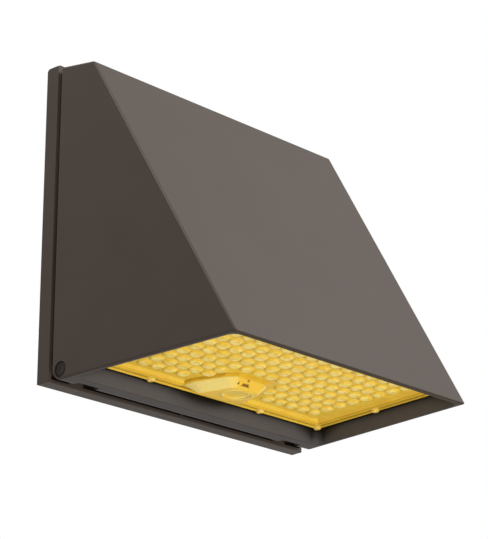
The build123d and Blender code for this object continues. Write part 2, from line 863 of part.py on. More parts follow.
# Hinge and closure hardware
def hinge_pin(side):
    """Headed pin: pressed in the housing's boss, with a running fit in the plate's arm."""
    seat_x = half_width(hinge_y) - pin_head_thickness - pin_head_recess
    end_x = arm_x - arm_thickness / 2 - arm_side_gap - clip_thickness - pin_groove_end
    low, high = sorted((side * seat_x, side * end_x))
    shank = crosswise(low, high, hinge_pin_radius)
    low, high = sorted((side * seat_x, side * (seat_x + pin_head_thickness)))
    return shank + crosswise(low, high, pin_head_radius)


def hinge_clip(side):
    """Open retaining ring on the inner end of a hinge pin."""
    face = arm_x - arm_thickness / 2 - arm_side_gap
    low, high = sorted((side * face, side * (face - clip_thickness)))
    ring = crosswise(low, high, clip_radius) - crosswise(low - past, high + past, hinge_pin_radius)
    x = side * (face - clip_thickness / 2)
    return ring - Pos(x, hinge_y, hinge_z - clip_radius) * Box(clip_thickness + 2 * past, clip_mouth, 2 * clip_radius)


def closure_screw(side):
    """Captive screw: socket head, shank and a swaged tip that can't leave the nut."""
    under_head = closure_seat_level() + closure_washer_thickness
    nut_low = lug_low - nut_gap - nut_height
    tip_high = nut_low - screw_tip_gap
    x, y = side * closure_x, -closure_setback
    screw = post(x, y, tip_high - bite, closure_screw_radius, under_head - tip_high + 2 * bite)
    screw += post(x, y, tip_high - screw_tip_length, screw_tip_radius, screw_tip_length)
    screw += post(x, y, under_head, closure_head_radius, closure_head_height)
    socket = extrude(RegularPolygon(closure_socket / 2, 6, major_radius=False), closure_socket_depth + past)
    return screw - Pos(x, y, level(under_head + closure_head_height - closure_socket_depth)) * socket


def closure_washer(side):
    x, y = side * closure_x, -closure_setback
    ring = post(x, y, closure_seat_level(), closure_washer_radius, closure_washer_thickness)
    return ring - post(x, y, closure_seat_level() - past, closure_screw_radius + sleeve_clearance,
                       closure_washer_thickness + 2 * past)


def closure_nut(side):
    """Square nut in the housing's pocket, drawn up against the lug."""
    x, y = side * closure_x, -closure_setback
    nut_low = lug_low - nut_gap - nut_height
    nut = block(x, y, nut_low, nut_width, nut_width, nut_height)
    return nut - post(x, y, nut_low - past, closure_screw_radius + thread_clearance, nut_height + 2 * past)


# Lens group
def ridge_face():
    """The raised line round the optics, broken at each screw."""
    ring = lens_plan(border_strip) - lens_plan(border_strip + ridge_width)
    for x, y in lens_screw_places():
        ring -= Pos(x, y) * Circle(lens_screw_relief)
    return ring


def optic():
    """A faceted dome on the lens floor, at X = Y = 0."""
    turns = [radians(360 * n / optic_sides) for n in range(optic_sides)]
    base, crown = [
        [Vector(radius * cos(turn), radius * sin(turn), level(height)) for turn in turns]
        for radius, height in ((optic_radius, lens_floor_level + bite), (optic_crown_radius, lens_floor_level - optic_height))
    ]
    outlines = [(base[n - 1], base[n], crown[n], crown[n - 1]) for n in range(optic_sides)] + [base, crown]
    return Solid(Shell([Face(Wire.make_polygon(outline)) for outline in outlines]))


def optic_lens():
    """Amber moulding: flat border with a broken ridge, a dished field of optics and the pad for the pod."""
    lens_back = lens_level + lens_thickness
    body = upright(lens_plan(0), lens_level, lens_back)
    body += upright(lens_plan(land_width + lens_pan_gap), lens_level, lens_floor_level + lens_thickness)
    body += upright(ridge_face(), lens_level - ridge_height, lens_level + bite)
    for x, y in lens_screw_places():
        body += screw_hole(x, y, lens_back - bite, lens_pad_radius, gasket_thickness + bite)
    rim = Pos(0, 0, level(lens_level)) * lens_plan(border_width - dish_run)
    floor = Pos(0, 0, level(lens_floor_level)) * lens_plan(border_width)
    dish = loft([rim, floor], ruled=True)
    dish += upright(lens_plan(border_width - dish_run), lens_level - ridge_height - past, lens_level)
    pod_base = make_face(Polyline(*pod_outline(0.0), close=True))
    pad = pod_solid(0.0, pod_share) + upright(pod_base, lens_level, lens_back)
    body = body - (dish - pad) - upright(pod_base, lens_level - ridge_height - past, lens_level)
    hollow_rear, hollow_front = lead_hole_y + lead_hole_radius, connector_y - connector_width / 2 - connector_gap
    body -= tray_block(-connector_length, connector_length, lens_back, board_level, hollow_front, hollow_rear)
    dome = optic()
    body += [Pos(x, y) * dome for x, y in optic_places()]
    for x, y in lens_screw_places():
        body -= screw_hole(x, y, lens_level - past, lens_screw_radius + screw_hole_clearance,
                           lens_thickness + gasket_thickness + 2 * past)
    return body


def sensor_pod():
    """Thin moulded cover over the sensor place: drafted sides, a collar round its port and two windows in front."""
    inner_lean = 1.0 - pod_wall / pod_height
    body = pod_solid(pod_share, 1.0)
    body += post(0, port_y, pod_lower - port_collar_height, port_collar_radius, port_collar_height + bite)
    body -= pod_solid(pod_share, inner_lean, inset=pod_wall)
    body += post(0, port_y, pod_lower, port_collar_radius - bite, port_seat_depth + port_floor)
    body -= post(0, port_y, pod_lower - port_collar_height - past, port_radius, pod_drop + port_collar_height)
    body -= post(0, port_y, pod_lower - port_collar_height - past, port_seat_radius,
                 port_collar_height + past + port_seat_depth)
    front = lens_rear - pod_rear_setback - pod_length + pod_front_lean / 2
    low = lens_level - (pod_drop + pod_window_height) / 2
    body -= block(pod_window_x, front, low, pod_window_width, 4 * pod_wall, pod_window_height)
    body -= block(pod_small_window_x, front + past, low, pod_window_height, 4 * pod_wall, pod_window_height)
    return body


def port_plug():
    """Round blank: a shallow dished cap on a short plug, where a sensor would go."""
    cap_low = pod_lower + port_plug_clearance
    cap = post(0, port_y, cap_low, port_seat_radius - port_plug_clearance, port_seat_depth - port_plug_clearance)
    plug = post(0, port_y, cap_low + bite, port_radius - port_plug_clearance, port_plug_length)
    dish = post(0, port_y, cap_low - past, port_seat_radius - port_dish_rim, port_dish_depth + past)
    return cap + plug - dish


def lens_gasket():
    """Ring inside the line of the screws; the lens's pads round the screws set how far it is squeezed."""
    inner = land_width - gasket_inset
    ring = lens_plan(inner - gasket_width) - lens_plan(inner)
    return upright(ring, lens_level + lens_thickness, land_level)


def lens_screws():
    screw = headed_screw(lens_head_radius, lens_head_height, lens_screw_radius - screw_thread_clearance, lens_screw_length)
    return [Pos(x, y, level(lens_level)) * Rot(180, 0, 0) * screw for x, y in lens_screw_places()]


def led_board():
    """Aluminium board under the deck, notched where the leads come through."""
    body = upright(lens_plan(land_width + board_inset), board_level, deck_level)
    body -= post(0, lead_hole_y, board_level - past, lead_hole_radius + lead_hole_margin, board_thickness + 2 * past)
    for x, y in board_screw_places():
        body -= screw_hole(x, y, board_level - past, small_screw_radius + screw_hole_clearance,
                           board_thickness + 2 * past)
    return body


def led_chips():
    """One light source over each optic."""
    return [block(x, y, board_level - chip_thickness, chip_size, chip_size, chip_thickness) for x, y in optic_places()]


def led_board_screws():
    screw = headed_screw(small_head_radius, small_head_height, small_screw_radius - screw_thread_clearance,
                         board_screw_length)
    return [Pos(x, y, level(board_level)) * Rot(180, 0, 0) * screw for x, y in board_screw_places()]


def board_connector():
    """Two-way lead connector on the board, over the pod's pad."""
    low = board_level - connector_height
    body = block(0, connector_y, low, connector_length, connector_width, connector_height)
    for side in (1, -1):
        body -= block(side * connector_length / 4, connector_y + connector_width / 2,
                      low + (connector_height - connector_mouth_height) / 2,
                      connector_mouth, connector_width * 3 / 4, connector_mouth_height)
    return body


# Electrical pieces on the deck
def driver_bracket():
    """Folded sheet on the four posts, with a lip along its front and rear edges."""
    x_low, x_high, y_low, y_high = bracket_limits()
    low = deck_top + post_height
    body = tray_block(x_low, x_high, low, low + bracket_thickness, y_low, y_high)
    body += tray_block(x_low, x_high, low, low + bracket_lip, y_high - bracket_thickness, y_high)
    body += tray_block(x_low, x_high, low, low + bracket_lip, y_low, y_low + bracket_thickness)
    for x, y in bracket_places():
        body -= screw_hole(x, y, low - past, small_screw_radius + screw_hole_clearance, bracket_thickness + 2 * past)
    for x, y in driver_screw_places() + surge_screw_places():
        body -= screw_hole(x, y, low - past, small_screw_radius, bracket_thickness + 2 * past)
    return body


def bracket_screws():
    screw = headed_screw(small_head_radius, small_head_height, small_screw_radius - screw_thread_clearance,
                         bracket_screw_length)
    return [Pos(x, y, level(bracket_top)) * screw for x, y in bracket_places()]


def driver_screw_places():
    reach = driver_length / 2 + driver_ear / 2
    return [(driver_x + side * reach, -driver_setback) for side in (1, -1)]


def surge_screw_places():
    return [(surge_x, -driver_setback + side * (surge_length + surge_foot) / 2) for side in (1, -1)]


def ear_holes(places):
    """Screw holes through the ears that stand on the bracket."""
    radius, length = small_screw_radius + screw_hole_clearance, driver_ear_thickness + 2 * past
    return [screw_hole(x, y, bracket_top - past, radius, length) for x, y in places]


def ear_screws(places):
    screw = headed_screw(small_head_radius, small_head_height, small_screw_radius - screw_thread_clearance,
                         driver_ear_thickness + ear_screw_length)
    return [Pos(x, y, level(bracket_top + driver_ear_thickness)) * screw for x, y in places]


def driver():
    """Metal-cased power supply: chamfered case on a base plate with an ear at each end."""
    case = block(driver_x, -driver_setback, bracket_top, driver_length, driver_width, driver_height)
    case = chamfer(case.edges().filter_by(Axis.X).group_by(Axis.Z)[-1], driver_case_chamfer)
    ears = block(driver_x, -driver_setback, bracket_top, driver_length + 2 * driver_ear,
                 driver_width * driver_ear_share, driver_ear_thickness)
    return cut(case + ears, ear_holes(driver_screw_places()))


def surge_protector():
    """Potted block with a foot at each end."""
    body = block(surge_x, -driver_setback, bracket_top, surge_width, surge_length, surge_height)
    body = fillet(body.edges().filter_by(Axis.Z), surge_corner_radius)
    body += block(surge_x, -driver_setback, bracket_top, surge_width / 2, surge_length + 2 * surge_foot,
                  driver_ear_thickness)
    return cut(body, ear_holes(surge_screw_places()))


def lead_grommet():
    """Bush in the deck's lead hole."""
    body = post(0, lead_hole_y, deck_level, lead_hole_radius - sleeve_clearance, deck_thickness)
    body += post(0, lead_hole_y, deck_top, lead_hole_radius + lead_grommet_rim, lead_grommet_flange)
    return body - post(0, lead_hole_y, deck_level - past, lead_grommet_bore,
                       deck_thickness + lead_grommet_flange + 2 * past)


def vent_plug():
    """Pressure vent with a hexagonal head, in the deck above the hinge channel."""
    head = screw_hole(vent_offset, hinge_y, channel_high - vent_head_height, vent_head_radius, vent_head_height)
    return head + post(vent_offset, hinge_y, channel_high - bite, vent_radius - sleeve_clearance,
                       deck_top - channel_high + bite)


def build_parts():
    """Every node by name: a solid, or a list of separate solids that share the node."""
    return {
        "back_plate": back_plate(),
        "wall_gasket": wall_gasket(),
        "wire_grommet": wire_grommet(),
        "rim_seal": rim_seal(),
        "terminal_block": terminal_block(),
        "terminal_screws": terminal_screws(),
        "ground_screw": ground_screw(),
        "housing": housing(),
        "hinge_pin_left": hinge_pin(-1),
        "hinge_pin_right": hinge_pin(1),
        "hinge_clips": both_sides(hinge_clip),
        "closure_screw_left": closure_screw(-1),
        "closure_screw_right": closure_screw(1),
        "closure_washers": both_sides(closure_washer),
        "closure_nuts": both_sides(closure_nut),
        "optic_lens": optic_lens(),
        "sensor_pod": sensor_pod(),
        "port_plug": port_plug(),
        "lens_gasket": lens_gasket(),
        "lens_screws": lens_screws(),
        "led_board": led_board(),
        "led_chips": led_chips(),
        "led_board_screws": led_board_screws(),
        "board_connector": board_connector(),
        "driver_bracket": driver_bracket(),
        "bracket_screws": bracket_screws(),
        "driver": driver(),
        "driver_screws": ear_screws(driver_screw_places()),
        "surge_protector": surge_protector(),
        "surge_screws": ear_screws(surge_screw_places()),
        "lead_grommet": lead_grommet(),
        "vent_plug": vent_plug(),
    }


os.makedirs("parts", exist_ok=True)
for node, shape in build_parts().items():
    solids = [solid for item in shape for solid in item.solids()] if isinstance(shape, list) else shape.solids()
    export_step(Compound(children=solids), f"parts/{node}.step")
    print(node, "solids", len(solids), "volume", round(sum(solid.volume for solid in solids)))
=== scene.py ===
# %% [markdown]
# A wall pack light is an outdoor lamp that is bolted flat to a wall and throws its light down. Here its
# cast housing, its hinge and its screws come from the CAD model, which is loaded as a fixed frame. What
# Blender adds is the finish of every surface and the moulded detail that shows from close by: the optics
# of the amber lens, the cover on it, the screw heads and the hinge pins.

# %% Load the CAD frame
from math import atan2, cos, degrees, radians, sin

import bmesh
import bpy
from mathutils import Matrix, Vector


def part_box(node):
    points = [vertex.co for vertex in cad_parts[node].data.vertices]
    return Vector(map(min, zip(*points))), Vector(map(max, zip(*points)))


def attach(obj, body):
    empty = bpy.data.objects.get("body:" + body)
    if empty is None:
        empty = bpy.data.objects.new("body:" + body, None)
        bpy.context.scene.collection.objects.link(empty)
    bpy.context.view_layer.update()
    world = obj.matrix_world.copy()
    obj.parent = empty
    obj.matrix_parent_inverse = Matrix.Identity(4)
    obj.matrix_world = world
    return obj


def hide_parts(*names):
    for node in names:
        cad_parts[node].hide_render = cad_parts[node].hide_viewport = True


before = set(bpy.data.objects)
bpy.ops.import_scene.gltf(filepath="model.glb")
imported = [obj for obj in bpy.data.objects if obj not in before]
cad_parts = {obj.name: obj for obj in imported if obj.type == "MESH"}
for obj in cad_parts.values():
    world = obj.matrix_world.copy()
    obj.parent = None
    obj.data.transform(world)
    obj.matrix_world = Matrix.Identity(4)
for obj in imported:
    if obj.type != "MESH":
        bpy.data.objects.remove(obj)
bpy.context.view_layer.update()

# %% [markdown]
# The CAD model puts its origin at the middle of the wall bolts, and its drawing gives heights from the
# light's lower edge. Two small helpers keep the numbers below as a maker would write them: millimetres,
# and heights from that edge.

# %% Millimetres and heights
MM = 0.001
LIGHT_HEIGHT = 282.0


def level(height):
    """Z in metres of a height in millimetres above the light's lower edge."""
    return (height - LIGHT_HEIGHT / 2) * MM


print("lower edge at", round(level(0), 4), "and upper edge at", round(level(LIGHT_HEIGHT), 4))

# %% [markdown]
# The photograph looks up at the light from its left side, through a long lens that keeps the edges nearly
# parallel. The camera is placed by an angle round the light, an angle under the horizon and a distance,
# and it has a long focal length. The longer side of the picture is upright, so the sensor size is fitted
# upright too.

# %% Camera at the photograph's angle
view_turn, view_rise, view_distance = radians(-45.4), radians(-20.3), 1.806
view_target = Vector((-0.0024, -0.0900, -0.0255))
towards_camera = Vector((sin(view_turn) * cos(view_rise), -cos(view_turn) * cos(view_rise), sin(view_rise)))

camera_data = bpy.data.cameras.new("photo_camera")
camera_data.sensor_fit = "VERTICAL"
camera_data.sensor_height = 36.0
camera_data.lens = 142.46
camera_data.clip_start, camera_data.clip_end = 0.05, 50.0
camera = bpy.data.objects.new("photo_camera", camera_data)
bpy.context.scene.collection.objects.link(camera)
camera.location = view_target + view_distance * towards_camera
camera.rotation_euler = (-towards_camera).to_track_quat("-Z", "Y").to_euler()
bpy.context.scene.camera = camera
bpy.context.scene.view_settings.view_transform = "Standard"
print("camera at", [round(v, 3) for v in camera.location])

# %% [markdown]
# The background is plain white. A white world that only the camera, the reflections and rays through a
# clear material see gives that without pouring white light on the dark paint: the light that the world
# really sheds is a soft grey. Light Path tells the two apart.

# %% World: white behind, soft grey as light
WORLD_LIGHT, WHITE_BEHIND = 0.34, 1.0

world = bpy.data.worlds.new("studio_world")
bpy.context.scene.world = world
world.use_nodes = True
tree = world.node_tree
tree.nodes.clear()


def add_white(strength):
    """A white background of one strength."""
    background = tree.nodes.new("ShaderNodeBackground")
    background.inputs["Color"].default_value = (1.0, 1.0, 1.0, 1.0)
    background.inputs["Strength"].default_value = strength
    return background.outputs[0]


def either_of(first, second):
    """1 where one of two tests is 1."""
    larger = tree.nodes.new("ShaderNodeMath")
    larger.operation = "MAXIMUM"
    tree.links.new(first, larger.inputs[0])
    tree.links.new(second, larger.inputs[1])
    return larger.outputs[0]


rays = tree.nodes.new("ShaderNodeLightPath")
seen_or_through = either_of(rays.outputs["Is Camera Ray"], rays.outputs["Is Transmission Ray"])
seen_at_all = either_of(seen_or_through, rays.outputs["Is Glossy Ray"])
choose = tree.nodes.new("ShaderNodeMixShader")
output = tree.nodes.new("ShaderNodeOutputWorld")
tree.links.new(seen_at_all, choose.inputs["Fac"])
tree.links.new(add_white(WORLD_LIGHT), choose.inputs[1])
tree.links.new(add_white(WHITE_BEHIND), choose.inputs[2])
tree.links.new(choose.outputs[0], output.inputs["Surface"])
print("world light", WORLD_LIGHT)

# %% [markdown]
# Lamps shape the object. A broad lamp up on the right makes the sloping face the lightest one, and a
# small one over the upper left draws a thin bright line along the rounded edge. A broad one below lights
# the lens as a pale floor would, and one in front, little lower than the light, reaches the walls of the
# recess under its front lip. Area lamps are used because their size is what makes a shadow soft.

# %% Studio lamps
def add_lamp(name, place, size, watts):
    """A square area lamp that faces the middle of the light."""
    data = bpy.data.lights.new(name, "AREA")
    data.shape = "SQUARE"
    data.size = size
    data.energy = watts
    lamp = bpy.data.objects.new(name, data)
    bpy.context.scene.collection.objects.link(lamp)
    lamp.location = place
    lamp.rotation_euler = (Vector(place) - view_target).to_track_quat("Z", "Y").to_euler()
    return lamp


add_lamp("key_lamp", (1.00, -1.30, 1.20), 1.2, 24.0)
add_lamp("edge_lamp", (-0.62, -0.35, 0.85), 0.35, 6.0)
add_lamp("low_lamp", (0.10, -1.00, -1.30), 1.1, 24.0)
add_lamp("front_lamp", (-0.95, -1.40, -0.60), 0.8, 5.0)

# %% [markdown]
# A plain pale floor lies well under the light, which hangs on its wall. The camera is lower than the
# light, so the floor stays out of the photograph's view, and it shows only in views from above.

# %% Floor
FLOOR_Z, FLOOR_REACH = -1.35, 4.0

bm = bmesh.new()
floor_place = Matrix.Translation((0, 0, FLOOR_Z))
bmesh.ops.create_grid(bm, x_segments=1, y_segments=1, size=FLOOR_REACH, matrix=floor_place)
floor_mesh = bpy.data.meshes.new("studio_floor")
bm.to_mesh(floor_mesh)
bm.free()
floor = bpy.data.objects.new("studio_floor", floor_mesh)
bpy.context.scene.collection.objects.link(floor)

floor_paint = bpy.data.materials.new("pale_floor")
floor_paint.use_nodes = True
floor_shader = floor_paint.node_tree.nodes["Principled BSDF"]
floor_shader.inputs["Base Color"].default_value = (0.80, 0.80, 0.79, 1.0)
floor_shader.inputs["Roughness"].default_value = 0.8
floor_mesh.materials.append(floor_paint)
print("floor at", FLOOR_Z)

# %% [markdown]
# Most finishes start in the same way: a Principled shader, a pattern that reads the object's own
# coordinates, and a bump made from it. Object coordinates are in metres here and don't slide when a part
# turns on its hinge. The helpers hold those first steps, so that each finish below only says what is
# special about it. The first ones start a material and make its patterns: noise, cells, and noise that is
# stretched in one direction.

# %% Helpers that start a finish and make its patterns
def srgb(red, green, blue):
    """A colour as a paint chart gives it, 0 to 255, turned into the linear values that Blender mixes."""
    channels = [c / 255 for c in (red, green, blue)]
    return tuple(c / 12.92 if c <= 0.04045 else ((c + 0.055) / 1.055) ** 2.4 for c in channels) + (1.0,)


def new_finish(name, roughness, metallic=0.0):
    """A material and its tree, shader and coordinates."""
    finish = bpy.data.materials.new(name)
    finish.use_nodes = True
    nodes = finish.node_tree.nodes
    shader = nodes["Principled BSDF"]
    shader.inputs["Roughness"].default_value = roughness
    shader.inputs["Metallic"].default_value = metallic
    place = nodes.new("ShaderNodeTexCoord")
    return finish, shader, place.outputs["Object"]


def add_noise(finish, place, grains_per_metre, detail=2.0, roughness=0.5):
    """A noise pattern; grains_per_metre sets its size."""
    noise = finish.node_tree.nodes.new("ShaderNodeTexNoise")
    noise.inputs["Scale"].default_value = grains_per_metre
    noise.inputs["Detail"].default_value = detail
    noise.inputs["Roughness"].default_value = roughness
    finish.node_tree.links.new(place, noise.inputs["Vector"])
    return noise.outputs["Fac"]


def add_cells(finish, place, cells_per_metre, output="Distance"):
    """A pattern of cells; Distance runs from each cell's middle, Color is one random colour per cell."""
    cells = finish.node_tree.nodes.new("ShaderNodeTexVoronoi")
    cells.inputs["Scale"].default_value = cells_per_metre
    finish.node_tree.links.new(place, cells.inputs["Vector"])
    return cells.outputs[output]


def stretch(finish, place, x=1.0, y=1.0, z=1.0):
    """Coordinates scaled by an amount along each axis, so that a pattern runs in one direction."""
    mapping = finish.node_tree.nodes.new("ShaderNodeMapping")
    mapping.inputs["Scale"].default_value = (x, y, z)
    finish.node_tree.links.new(place, mapping.inputs["Vector"])
    return mapping.outputs["Vector"]


print("patterns: noise, cells, stretch")

# %% [markdown]
# A pattern is only a number from 0 to 1. A ramp or a mix turns it into colour, and a range turns it into
# an amount. Ambient occlusion gives such a number too: it is small in a crevice, where dirt gathers or a
# clear plastic is seen through more of itself, so it finds those places on the shape.

# %% Helpers that turn a pattern into colour
def add_ramp(finish, value, *stops):
    """A colour ramp through (position, colour) stops."""
    ramp = finish.node_tree.nodes.new("ShaderNodeValToRGB")
    marks = ramp.color_ramp.elements
    while len(marks) < len(stops):
        marks.new(0.5)
    for mark, (position, colour) in zip(marks, stops):
        mark.position = position
        mark.color = colour
    finish.node_tree.links.new(value, ramp.inputs["Fac"])
    return ramp.outputs["Color"]


def add_range(finish, value, low, high):
    """The value stretched from 0 and 1 to low and high."""
    span = finish.node_tree.nodes.new("ShaderNodeMapRange")
    span.inputs["To Min"].default_value = low
    span.inputs["To Max"].default_value = high
    finish.node_tree.links.new(value, span.inputs["Value"])
    return span.outputs["Result"]


def add_crevice(finish, reach_mm, samples=8):
    """Near 0 in a crevice and 1 in the open, within a reach in millimetres."""
    occlusion = finish.node_tree.nodes.new("ShaderNodeAmbientOcclusion")
    occlusion.samples = samples
    occlusion.inputs["Distance"].default_value = reach_mm * MM
    return occlusion.outputs["AO"]


def mix_colours(finish, amount, first, second):
    """From the first colour at 0 to the second at 1; each is a socket or a plain colour."""
    mix = finish.node_tree.nodes.new("ShaderNodeMix")
    mix.data_type = "RGBA"
    finish.node_tree.links.new(amount, mix.inputs["Factor"])
    for socket, colour in ((mix.inputs["A"], first), (mix.inputs["B"], second)):
        if isinstance(colour, tuple):
            socket.default_value = colour
        else:
            finish.node_tree.links.new(colour, socket)
    return mix.outputs["Result"]


print("colour: ramp, range, crevice, mix")

# %% [markdown]
# The last helpers feed the shader. A bump node takes a real depth, so the depth is given in millimetres.
# Two bumps can be laid over each other: the second one starts from the normal that the first one made. A
# CAD node keeps its mesh and only gets the finish in its material slot.

# %% Helpers that feed the shader
def add_bump(finish, shader, height, depth_mm, strength=1.0):
    """A bump of a real depth in millimetres."""
    bump = finish.node_tree.nodes.new("ShaderNodeBump")
    bump.inputs["Strength"].default_value = strength
    bump.inputs["Distance"].default_value = depth_mm * MM
    finish.node_tree.links.new(height, bump.inputs["Height"])
    if shader.inputs["Normal"].links:
        finish.node_tree.links.new(shader.inputs["Normal"].links[0].from_socket, bump.inputs["Normal"])
    finish.node_tree.links.new(bump.outputs["Normal"], shader.inputs["Normal"])


def set_colour(finish, shader, colour):
    """Links a colour into the shader."""
    finish.node_tree.links.new(colour, shader.inputs["Base Color"])


def set_gloss(finish, shader, value, low, high):
    """Lets the roughness run between two values with a pattern."""
    finish.node_tree.links.new(add_range(finish, value, low, high), shader.inputs["Roughness"])


def paint(finish, *names):
    """Gives CAD nodes this finish all over."""
    for name in names:
        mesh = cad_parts[name].data
        mesh.materials.clear()
        mesh.materials.append(finish)
    print(finish.name, "on", ", ".join(names))


print("shader: bump, colour, gloss, paint")

# %% [markdown]
# The castings are powder coated: a dark bronze paint, baked on, satin, with the faint orange peel that
# such a coat has. Its bumps are about a millimetre across and only hundredths deep. A second, wide and
# weak noise keeps the large plain faces from looking printed, in colour and in gloss. A thin coat layer
# gives the rounded edges their bright line.

# %% Powder coat on the back plate
def powder_coat(name):
    """The paint itself; returns the finish, its shader, its coordinates and its colour."""
    finish, paint_shader, where = new_finish(name, 0.45)
    patches = add_noise(finish, where, 14.0, 3.0)
    colour = add_ramp(finish, patches, (0.30, srgb(67, 57, 50)), (0.70, srgb(71, 61, 54)))
    set_colour(finish, paint_shader, colour)
    set_gloss(finish, paint_shader, patches, 0.43, 0.50)
    add_bump(finish, paint_shader, add_noise(finish, where, 900.0), 0.02, 0.5)
    paint_shader.inputs["Specular IOR Level"].default_value = 0.14
    paint_shader.inputs["Coat Weight"].default_value = 0.06
    paint_shader.inputs["Coat Roughness"].default_value = 0.20
    return finish, paint_shader, where, colour


plate_coat = powder_coat("bronze_powder_coat")[0]
paint(plate_coat, "back_plate")

# %% [markdown]
# Inside the lens recess the same paint is given a painted shade: a greyer, deeper, bluish tone that cancels
# the amber light the lens throws on the walls. The walls of the pocket are found by their place: under the
# lens, within the side walls and the front lip, which are straight planes. Each plane is one weighted sum
# of X, Y and Z, so a dot product and a comparison test it. In the pocket's corners a painted shade makes
# the coat darker, which an occlusion node with a long reach finds, and the rounded upright edge in the
# corner that the photograph shows gets a paler painted highlight. The lower edges of the housing, which
# face down, get a painted shade a little deeper than its sides, and the lower face of the front lip a dark
# olive painted shadow.

# %% Powder coat on the housing, with painted shade in the recess
DRAFT_SLOPE, FRONT_SLOPE = 0.0664, 0.5793
SIDE_LIMIT, RECESS_REAR, LENS_HEIGHT = 148.0, 37.4, 19.0
LIP_START, LIP_LIMIT, LIP_END = 207.6, 210.5, 212.6
ROUNDED_CORNER = 105.2
EDGE_SKIN = 0.3


def below_plane(finish, where, normal, limit_mm, flip=False):
    """1 where the point lies on the near side of a plane, else 0."""
    dot = finish.node_tree.nodes.new("ShaderNodeVectorMath")
    dot.operation = "DOT_PRODUCT"
    dot.inputs[1].default_value = normal
    finish.node_tree.links.new(where, dot.inputs[0])
    test = finish.node_tree.nodes.new("ShaderNodeMath")
    test.operation = "GREATER_THAN" if flip else "LESS_THAN"
    test.inputs[1].default_value = limit_mm * MM
    finish.node_tree.links.new(dot.outputs["Value"], test.inputs[0])
    return test.outputs[0]


def all_of(finish, tests):
    """The product of several tests."""
    result = tests[0]
    for test in tests[1:]:
        product = finish.node_tree.nodes.new("ShaderNodeMath")
        product.operation = "MULTIPLY"
        finish.node_tree.links.new(result, product.inputs[0])
        finish.node_tree.links.new(test, product.inputs[1])
        result = product.outputs[0]
    return result


housing_coat, shader, place, coat_colour = powder_coat("bronze_coat_painted_shade")
low_edge = level(0) / MM
lip_shift = FRONT_SLOPE * low_edge
# Painted shade: faces at the lower edge, which face down, are painted a little darker than the sides.
underside_shade = below_plane(housing_coat, place, (0, 0, 1), EDGE_SKIN + low_edge)
recess = all_of(housing_coat, [
    below_plane(housing_coat, place, (1, -DRAFT_SLOPE, 0), SIDE_LIMIT),
    below_plane(housing_coat, place, (-1, -DRAFT_SLOPE, 0), SIDE_LIMIT),
    below_plane(housing_coat, place, (0, -1, FRONT_SLOPE), LIP_LIMIT + lip_shift),
    below_plane(housing_coat, place, (0, -1, 0), RECESS_REAR, flip=True),
    below_plane(housing_coat, place, (0, 0, 1), LENS_HEIGHT + low_edge),
    below_plane(housing_coat, place, (0, 0, 1), EDGE_SKIN + low_edge, flip=True),
])
# Painted shadow: the lower face of the front lip is painted a dark olive.
lip_shadow = all_of(housing_coat, [
    below_plane(housing_coat, place, (0, -1, FRONT_SLOPE), LIP_START + lip_shift, flip=True),
    below_plane(housing_coat, place, (0, -1, FRONT_SLOPE), LIP_END + lip_shift),
    underside_shade,
])
# Painted highlight: a paler strip on the rounded upright edge in the recess corner.
corner_highlight = below_plane(housing_coat, place, (1, 1, 0), ROUNDED_CORNER, flip=True)
# Painted shade: the recess coat turns a bluish grey that cancels the amber light from the lens, and an
# occlusion ramp darkens it towards the pocket's corners.
corners = add_crevice(housing_coat, 32.0, 16)
pocket_shade = add_ramp(housing_coat, corners, (0.44, srgb(18, 15, 14)), (0.64, srgb(88, 86, 89)))
pocket_shade = mix_colours(housing_coat, corner_highlight, pocket_shade, srgb(128, 126, 130))
with_pocket_shade = mix_colours(housing_coat, recess, coat_colour, pocket_shade)
with_underside_shade = mix_colours(housing_coat, underside_shade, with_pocket_shade, srgb(60, 54, 52))
set_colour(housing_coat, shader, mix_colours(housing_coat, lip_shadow, with_underside_shade, srgb(48, 36, 12)))
paint(housing_coat, "housing")

# %% [markdown]
# The lens is one amber moulding. It is clear, yet over the white board it reads as a solid warm yellow
# that glows a little inside, so a subsurface shader with a short reach does more here than real glass
# would, and stays quiet to render. In the grooves and hollows it gets a browner painted shade, in spots:
# an occlusion node finds those places on the shape itself and a noise varies their depth. The crowns of
# the optics and the sides of the cover that face left or right get a paler painted highlight, so the same
# plastic is made three times, one for each form, two of them with a painted highlight.

# %% Amber plastic
# The pale amber is a painted highlight, and the two darker ambers are painted shade for crevices and
# grooves.
AMBER, AMBER_HIGHLIGHT = srgb(230, 190, 60), srgb(244, 220, 128)
AMBER_SHADE, AMBER_DEEP_SHADE = srgb(212, 168, 46), srgb(134, 98, 18)
CROWN_HEIGHT, FIELD_HEIGHT = 15.5, 18.0


def add_part(finish, vector, axis, low, high):
    """0 where one part of a vector is low and 1 where it is high."""
    parts = finish.node_tree.nodes.new("ShaderNodeSeparateXYZ")
    finish.node_tree.links.new(vector, parts.inputs[0])
    span = finish.node_tree.nodes.new("ShaderNodeMapRange")
    span.inputs["From Min"].default_value = low
    span.inputs["From Max"].default_value = high
    finish.node_tree.links.new(parts.outputs[axis], span.inputs["Value"])
    return span.outputs["Result"]


def either_way(finish, vector):
    """The vector with every part positive, so that left and right are alike."""
    size = finish.node_tree.nodes.new("ShaderNodeVectorMath")
    size.operation = "ABSOLUTE"
    finish.node_tree.links.new(vector, size.inputs[0])
    return size.outputs["Vector"]


def surface_normal(finish):
    """The surface's direction in the object's own frame."""
    return finish.node_tree.nodes.new("ShaderNodeTexCoord").outputs["Normal"]


